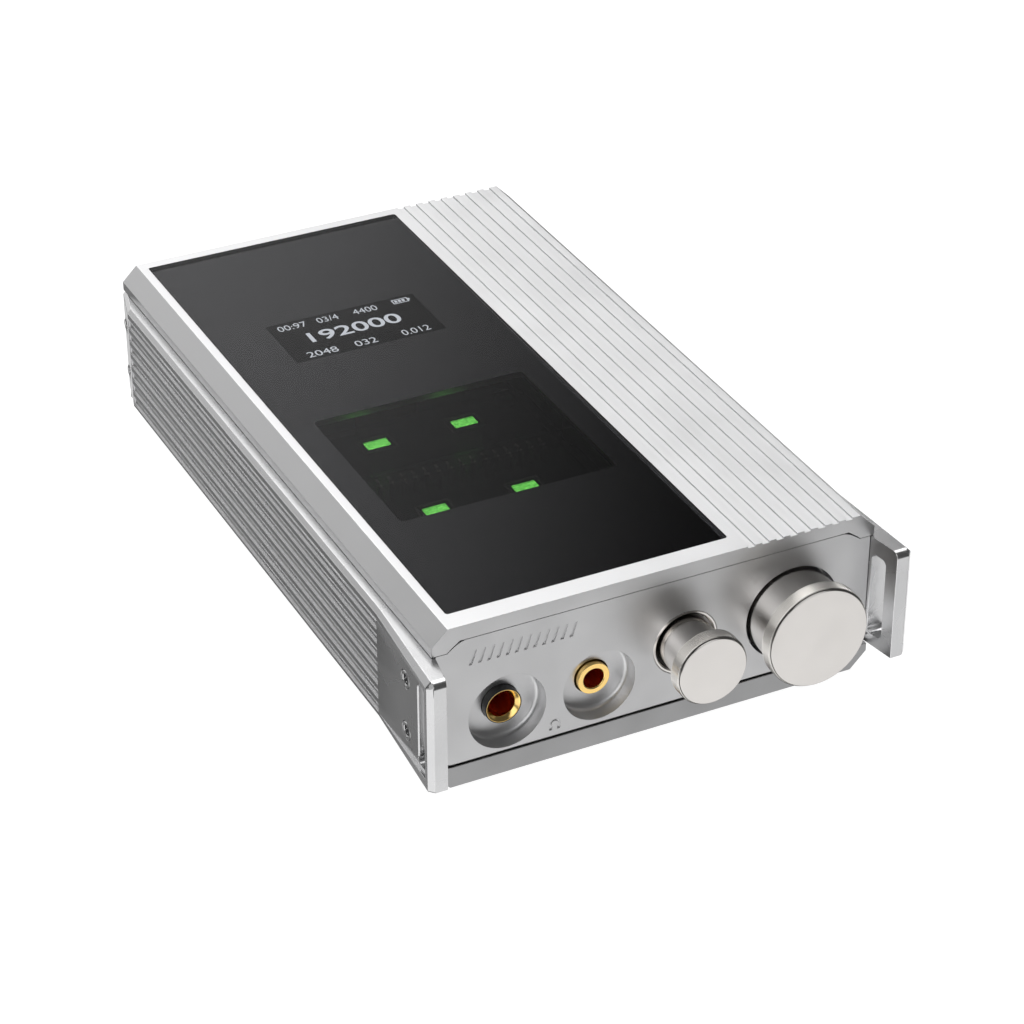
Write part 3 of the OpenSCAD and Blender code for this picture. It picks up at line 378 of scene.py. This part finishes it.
def mesh_piece(name, mesh, body, material):
    """A new piece that rides on a body and takes its finish from a slot."""
    piece = bpy.data.objects.new(name, mesh)
    bpy.context.collection.objects.link(piece)
    mesh.materials.clear()
    mesh.materials.append(material)
    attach(piece, body)
    return piece


def finish(name, mesh, body, material):
    """The same for a mesh that is still being built."""
    made = bpy.data.meshes.new(name)
    mesh.to_mesh(made)
    mesh.free()
    return mesh_piece(name, made, body, material)


def knurled_ring(node, body, columns, rows, bore):
    """A knob's grip: a grid of small raised pads, plain rims at both ends and a thin lip behind."""
    low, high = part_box(node)
    centre_x, centre_z = (low[0] + high[0]) / 2, (low[2] + high[2]) / 2
    outer = (high[0] - low[0]) / 2
    lip = 0.35 * MM
    depth = 0.11 * MM
    rim = 0.12 * MM
    recess = 0.22 * MM
    lip_r = outer - 0.85 * MM
    share = 0.24
    start, end = low[1] + rim, high[1] - lip - rim
    mesh = bmesh.new()

    def loop(y, radius, turn=0.0):
        return [
            mesh.verts.new((
                centre_x + radius * math.cos(TAU * (i + turn) / columns),
                y,
                centre_z + radius * math.sin(TAU * (i + turn) / columns),
            ))
            for i in range(columns)
        ]

    def strip(a, b):
        for i in range(columns):
            j = (i + 1) % columns
            mesh.faces.new((a[i], a[j], b[j], b[i]))

    front = [
        loop(low[1] + recess, bore),
        loop(low[1] + recess, outer - 0.34 * MM),
        loop(low[1], outer - 0.26 * MM),
        loop(low[1] + rim / 2, outer - depth),
    ]
    back = [
        loop(high[1] - lip - rim / 2, outer - 0.02 * MM),
        loop(high[1] - lip, outer - 0.12 * MM),
        loop(high[1] - lip, lip_r),
        loop(high[1], lip_r),
        loop(high[1], bore),
    ]
    lattice = [loop(start + (end - start) * r / rows, outer - depth) for r in range(rows + 1)]
    rings = [*front, lattice[0]]
    for a, b in zip(rings, rings[1:]):
        strip(a, b)
    painted_shade_end = len(mesh.faces) // 2
    rings = [lattice[-1], *back, front[0]]
    for a, b in zip(rings, rings[1:]):
        strip(a, b)
    for row in range(rows):
        y0 = start + (end - start) * (row + share) / rows
        y1 = start + (end - start) * (row + 1 - share) / rows
        corners = ((y0, share), (y0, 1 - share), (y1, 1 - share), (y1, share))
        pads = [loop(y, outer, turn) for y, turn in corners]
        for i in range(columns):
            j = (i + 1) % columns
            ring = (lattice[row][i], lattice[row][j], lattice[row + 1][j], lattice[row + 1][i])
            pad = tuple(p[i] for p in pads)
            mesh.faces.new(pad)
            for k in range(4):
                mesh.faces.new((ring[k], ring[(k + 1) % 4], pad[(k + 1) % 4], pad[k]))
    bmesh.ops.recalc_face_normals(mesh, faces=mesh.faces)
    # The front recess faces take the dark steel: painted shade in the groove in front of the cap.
    mesh.faces.ensure_lookup_table()
    for face in mesh.faces[:painted_shade_end]:
        face.material_index = 1
    made = bpy.data.meshes.new(node + "_knurled")
    mesh.to_mesh(made)
    mesh.free()
    for face in made.polygons:
        face.use_smooth = True
    made.set_sharp_from_angle(angle=math.radians(25))
    piece = mesh_piece(node + "_knurled", made, body, materials["knurled_metal"])
    # Second slot: dark steel for the painted shade in the front recess.
    made.materials.append(materials["dark_steel"])
    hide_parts(node)


def glow_material(name, colour, strength):
    """Lit display ink, a little uneven; the same glow paints the glints of the grains in the tubes."""
    made, tree, shader = new_material(name, (0, 0, 0), 0.6, **{"Emission Strength": strength})
    patch = noise(tree, 0.4 * MM)
    mix = add(tree, "ShaderNodeMix", data_type="RGBA")
    mix.inputs["A"].default_value = (*[c * 0.9 for c in colour], 1)
    mix.inputs["B"].default_value = (*colour, 1)
    tree.links.new(spread(tree, patch, 0, 1), mix.inputs["Factor"])
    tree.links.new(mix.outputs["Result"], shader.inputs["Emission Color"])
    return made


def figure(name, text, x0, x1, y0, y1, z, ink, weight):
    """Numbers drawn flat, filling the rectangle from x0, y0 to x1, y1, all in metres."""
    curve = bpy.data.curves.new(name, "FONT")
    curve.body = text
    curve.offset = weight
    maker = bpy.data.objects.new(name + "_maker", curve)
    bpy.context.collection.objects.link(maker)
    bpy.context.view_layer.update()
    mesh = bpy.data.meshes.new_from_object(maker.evaluated_get(bpy.context.evaluated_depsgraph_get()))
    bpy.data.objects.remove(maker)
    xs = [v.co.x for v in mesh.vertices]
    ys = [v.co.y for v in mesh.vertices]
    for v in mesh.vertices:
        v.co = (
            x0 + (v.co.x - min(xs)) / (max(xs) - min(xs)) * (x1 - x0),
            y0 + (v.co.y - min(ys)) / (max(ys) - min(ys)) * (y1 - y0),
            z,
        )
    mesh_piece(name, mesh, "chassis", ink)


def rectangles(name, boxes, z, ink):
    """Flat rectangles (x0, x1, y0, y1), in metres, as one piece."""
    points, faces = [], []
    for x0, x1, y0, y1 in boxes:
        n = len(points)
        points += [(x0, y0, z), (x1, y0, z), (x1, y1, z), (x0, y1, z)]
        faces.append((n, n + 1, n + 2, n + 3))
    mesh = bpy.data.meshes.new(name)
    mesh.from_pydata(points, [], faces)
    mesh_piece(name, mesh, "chassis", ink)


# What the display reads: each piece, its figures, its left, right, lower and upper edges on the display
# in millimetres, and how much its strokes are thickened
READINGS = (
    ("rate_figures", "192000", 8.35, 26.2, 12.25, 15.85, 0.012),
    ("level_figures", "00:97", 4.5, 10.0, 18.3, 20.2, 0.0),
    ("filter_figures", "03/4", 12.1, 16.2, 18.3, 20.2, 0.0),
    ("gain_figures", "4400", 19.2, 23.9, 18.3, 20.2, 0.0),
    ("input_figures", "2048", 5.6, 11.4, 7.35, 9.3, 0.0),
    ("depth_figures", "032", 14.8, 19.0, 7.35, 9.3, 0.0),
    ("mode_figures", "0.012", 24.0, 29.4, 7.35, 9.3, 0.0),
)


def display_figures():
    """A rate in large figures, a row of small readings above and below it, and a battery gauge."""
    low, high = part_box("display_panel")
    z = high[2] + 0.01 * MM
    ink = glow_material("display_ink", (0.9, 0.95, 1.0), 1.5)

    def at(x, y):
        return low[0] + x * MM, low[1] + y * MM

    for name, text, left, right, lower, upper, weight in READINGS:
        a, b = at(left, lower), at(right, upper)
        figure(name, text, a[0], b[0], a[1], b[1], z, ink, weight)
    line = 0.22 * MM
    bar_w, bar_pitch, bar_edge = 0.52 * MM, 0.72 * MM, 0.42 * MM
    x0, y0 = at(27.2, 18.75)
    x1, y1 = at(30.3, 20.35)
    gauge = [
        (x0, x1, y0, y0 + line), (x0, x1, y1 - line, y1), (x0, x0 + line, y0, y1), (x1 - line, x1, y0, y1),
        (x1, x1 + 0.35 * MM, y0 + 0.5 * MM, y1 - 0.5 * MM),
    ]
    for i in range(3):
        x = x0 + 0.45 * MM + bar_pitch * i
        gauge.append((x, x + bar_w, y0 + bar_edge, y1 - bar_edge))
    rectangles("battery_gauge", gauge, z, ink)


def thin_rods(name, runs, radius, slot_name, sides=6):
    """Straight thin rods from point to point as one piece."""
    mesh = bmesh.new()
    for a, b in runs:
        a, b = Vector(a), Vector(b)
        along = b - a
        place = Matrix.Translation((a + b) / 2) @ along.to_track_quat("Z", "Y").to_matrix().to_4x4()
        bmesh.ops.create_cone(mesh, cap_ends=True, segments=sides, radius1=radius, radius2=radius,
                              depth=along.length, matrix=place)
    finish(name, mesh, "chassis", materials[slot_name])


def tube_filaments():
    """The two fine heater wires over each anode, with a cross wire at each end."""
    low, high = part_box("tube_anodes")
    roof = high[2] + 0.9 * MM
    reach, cross = 3.3 * MM, 1.4 * MM
    runs = []
    for x in (low[0] + 2.1 * MM, high[0] - 2.1 * MM):
        for y in (low[1] + 1.1 * MM, high[1] - 1.1 * MM):
            for dy in (-0.5 * MM, 0.5 * MM):
                runs.append(((x - reach, y + dy, roof), (x + reach, y + dy, roof)))
            for dx in (-reach, reach):
                runs.append(((x + dx, y - cross, roof), (x + dx, y + cross, roof)))
    thin_rods("tube_filaments", runs, 0.03 * MM, "grid_wire")


def socket_shadows():
    """Painted shade: a black fill in each side screw's socket stands in for the socket's shadow, with three
    bright steel specks on it as painted glints.
    """
    low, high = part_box("side_screws")
    columns = ((low[1] + SIDE_HEAD_R, 0.0), (high[1] - SIDE_HEAD_R, SIDE_HEAD_STEP))
    rows = (low[2] + SIDE_HEAD_R, high[2] - SIDE_HEAD_R)
    sunk = 0.15 * MM
    fill = SIDE_SOCKET_D - 0.17 * MM
    fill_r, speck_r = 1.02 * MM, 0.13 * MM
    specks = ((-0.1, 0.42), (0.38, -0.1), (-0.3, -0.35))
    turn = Matrix.Rotation(math.pi / 2, 4, "Y")
    dark, bright = bmesh.new(), bmesh.new()
    for side, (y, step), z in itertools.product((-1, 1), columns, rows):
        face = (high[0] - step - sunk) * side
        place = Matrix.Translation((face - side * fill / 2, y, z)) @ turn
        # The dark fill is painted shade in the socket.
        bmesh.ops.create_cone(dark, cap_ends=True, segments=6, radius1=fill_r, radius2=fill_r,
                              depth=fill, matrix=place)
        # The bright specks are painted glints.
        for dy, dz in specks:
            place = Matrix.Translation((face, y + dy * MM, z + dz * MM))
            bmesh.ops.create_icosphere(bright, subdivisions=1, radius=speck_r, matrix=place)
    finish("socket_shadows", dark, "chassis", materials["dark_steel"])
    finish("socket_glints", bright, "chassis", materials["screw_steel"])


def tube_specks():
    """Tiny glowing grains on the floors of the sealed chambers: painted glints."""
    grains = random.Random(11)
    mesh = bmesh.new()
    for node in ("front_tube", "rear_tube"):
        low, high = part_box(node)
        floor = high[2] - 2.6 * MM
        for _ in range(34):
            x = grains.uniform(low[0] + 3.5 * MM, high[0] - 3.5 * MM)
            y = grains.uniform(low[1] + 2.8 * MM, high[1] - 2.8 * MM)
            size = grains.uniform(0.03, 0.075) * MM
            bmesh.ops.create_icosphere(mesh, subdivisions=1, radius=size,
                                       matrix=Matrix.Translation((x, y, floor + size)))
    # The grains glow: painted glints.
    bright = glow_material("painted_glint_grain", (0.75, 0.8, 0.75), 0.5)
    finish("tube_specks", mesh, "chassis", bright)


# ---------------------------------------------------------------- light, floor and camera


def direction(azimuth, elevation):
    """A unit vector: azimuth 0 is the back, 90 the right; elevation is above the horizon, in degrees."""
    a, e = math.radians(azimuth), math.radians(elevation)
    return Vector((math.sin(a) * math.cos(e), math.cos(a) * math.cos(e), math.sin(e)))


# The round light overhead: azimuth, elevation, how far it stays full and where it ends, and the radiance
OVERHEAD = (14, 72, 26, 38, 2.85)

# Soft studio lights: the azimuth of the middle, how far to each side it stays full and where it ends,
# the four elevations between which it rises and falls, and the radiance
STUDIO = (
    (-8, 26, 39, (-14, -2, 50, 70), 0.72),
    (-40, 9, 18, (-18, -10, 1, 8), 1.0),
    (-142, 20, 38, (-6, 4, 26, 38), 1.7),
    (5, 12, 26, (-14, -2, 50, 70), 0.5),
    (15, 14, 36, (-62, -48, -31, -18), 1.15),
    (-116, 24, 48, (-62, -46, -18, -6), 1.3),
    (172, 32, 62, (-70, -56, -34, -20), 1.2),
    (66, 20, 40, (-58, -44, -20, -8), 1.3),
)
AMBIENT = 0.10


def ramp(tree, value, start, end, low, high):
    """Value eased from low at start to high at end."""
    made = add(tree, "ShaderNodeMapRange", interpolation_type="SMOOTHSTEP")
    for socket, amount in zip(("From Min", "From Max", "To Min", "To Max"), (start, end, low, high)):
        made.inputs[socket].default_value = amount
    tree.links.new(value, made.inputs["Value"])
    return made.outputs["Result"]


def combine(tree, operation, a, b):
    """The result of an operation on a socket and a socket or a plain number."""
    made = add(tree, "ShaderNodeMath", operation=operation)
    for socket, part in zip(made.inputs, (a, b)):
        if isinstance(part, float):
            socket.default_value = part
        else:
            tree.links.new(part, socket)
    return made.outputs[0]


def cone(tree, along, axis, full, end, strength):
    """strength within full degrees of the axis, fading to nothing at end."""
    facing = add(tree, "ShaderNodeVectorMath", operation="DOT_PRODUCT")
    facing.inputs[1].default_value = axis
    tree.links.new(along, facing.inputs[0])
    outer, inner = math.cos(math.radians(end)), math.cos(math.radians(full))
    return ramp(tree, facing.outputs["Value"], outer, inner, 0.0, strength)


def studio_light():
    """A world of soft lights on a dim surround, with a white backdrop where the camera sees it."""
    world = bpy.data.worlds.new("studio")
    bpy.context.scene.world = world
    world.use_nodes = True
    tree = world.node_tree
    tree.nodes.clear()
    place = add(tree, "ShaderNodeTexCoord")
    split = add(tree, "ShaderNodeSeparateXYZ")
    tree.links.new(place.outputs["Generated"], split.inputs[0])
    height = split.outputs["Z"]
    flat = add(tree, "ShaderNodeVectorMath", operation="MULTIPLY")
    flat.inputs[1].default_value = (1, 1, 0)
    tree.links.new(place.outputs["Generated"], flat.inputs[0])
    level = add(tree, "ShaderNodeVectorMath", operation="NORMALIZE")
    tree.links.new(flat.outputs[0], level.inputs[0])
    azimuth, elevation, full, end, radiance = OVERHEAD
    overhead = cone(tree, place.outputs["Generated"], direction(azimuth, elevation), full, end, radiance)
    total = combine(tree, "ADD", overhead, AMBIENT)
    for azimuth, full, end, heights, radiance in STUDIO:
        e = [math.sin(math.radians(h)) for h in heights]
        patch = ramp(tree, height, e[0], e[1], 0.0, radiance)
        patch = combine(tree, "MULTIPLY", patch, ramp(tree, height, e[2], e[3], 1.0, 0.0))
        side = cone(tree, level.outputs[0], direction(azimuth, 0), full, end, 1.0)
        total = combine(tree, "ADD", combine(tree, "MULTIPLY", patch, side), total)
    light = add(tree, "ShaderNodeBackground")
    backdrop = add(tree, "ShaderNodeBackground")
    backdrop.inputs["Color"].default_value = (1, 1, 1, 1)
    seen = add(tree, "ShaderNodeLightPath")
    choose = add(tree, "ShaderNodeMixShader")
    out = add(tree, "ShaderNodeOutputWorld")
    tree.links.new(total, light.inputs["Strength"])
    tree.links.new(seen.outputs["Is Camera Ray"], choose.inputs[0])
    tree.links.new(light.outputs[0], choose.inputs[1])
    tree.links.new(backdrop.outputs[0], choose.inputs[2])
    tree.links.new(choose.outputs[0], out.inputs["Surface"])


def pale_floor():
    side = 4.0
    mesh = bpy.data.meshes.new("floor")
    corners = [(x * side, y * side, 0) for x, y in ((-1, -1), (1, -1), (1, 1), (-1, 1))]
    mesh.from_pydata(corners, [], [(0, 1, 2, 3)])
    floor = bpy.data.objects.new("floor", mesh)
    bpy.context.collection.objects.link(floor)
    made, _, shader = new_material("floor_paper", (0.22, 0.22, 0.22), 0.9, **{"Emission Strength": 0.97})
    shader.inputs["Emission Color"].default_value = (1, 1, 1, 1)
    floor.data.materials.append(made)
    floor.visible_glossy = False


def camera():
    data = bpy.data.cameras.new("camera")
    data.lens = LENS
    data.sensor_width = SENSOR
    data.clip_start = 0.01
    made = bpy.data.objects.new("camera", data)
    bpy.context.collection.objects.link(made)
    back = Vector((
        math.sin(VIEW_AZIMUTH) * math.cos(VIEW_ELEVATION),
        -math.cos(VIEW_AZIMUTH) * math.cos(VIEW_ELEVATION),
        math.sin(VIEW_ELEVATION),
    ))
    made.location = VIEW_TARGET + back * VIEW_DISTANCE
    made.rotation_euler = (math.pi / 2 - VIEW_ELEVATION, 0, VIEW_AZIMUTH)
    bpy.context.scene.camera = made


dress_nodes()
shrink("glass_mask", 0.03 * MM)
soften("upper_cover", 0.05 * MM)
soften("front_panel", 0.05 * MM)
soften("rear_panel", 0.08 * MM)
soften("bottom_tray", 0.08 * MM)
for side in ("left", "right"):
    soften(side + "_side_plate", 0.05 * MM, sides=1, dissolve=False, crease=5.5)
soften("side_screws", 0.2 * MM, sides=3)
for knob in ("volume_knob", "menu_knob"):
    soften(knob + "_shell", 0.12 * MM)
    soften(knob + "_cap", 0.1 * MM)
soften("headphone_jack_sleeve", 0.08 * MM)
soften("balanced_jack_sleeve", 0.06 * MM)
soften("balanced_jack_barrel", 0.05 * MM)
knurled_ring("volume_knob_ring", "volume_knob", 160, 6, 7.1 * MM)
knurled_ring("menu_knob_ring", "menu_knob", 110, 6, 4.3 * MM)
display_figures()
tube_filaments()
tube_specks()
socket_shadows()
pale_floor()
studio_light()
camera()
bpy.context.scene.view_settings.view_transform = "Standard"
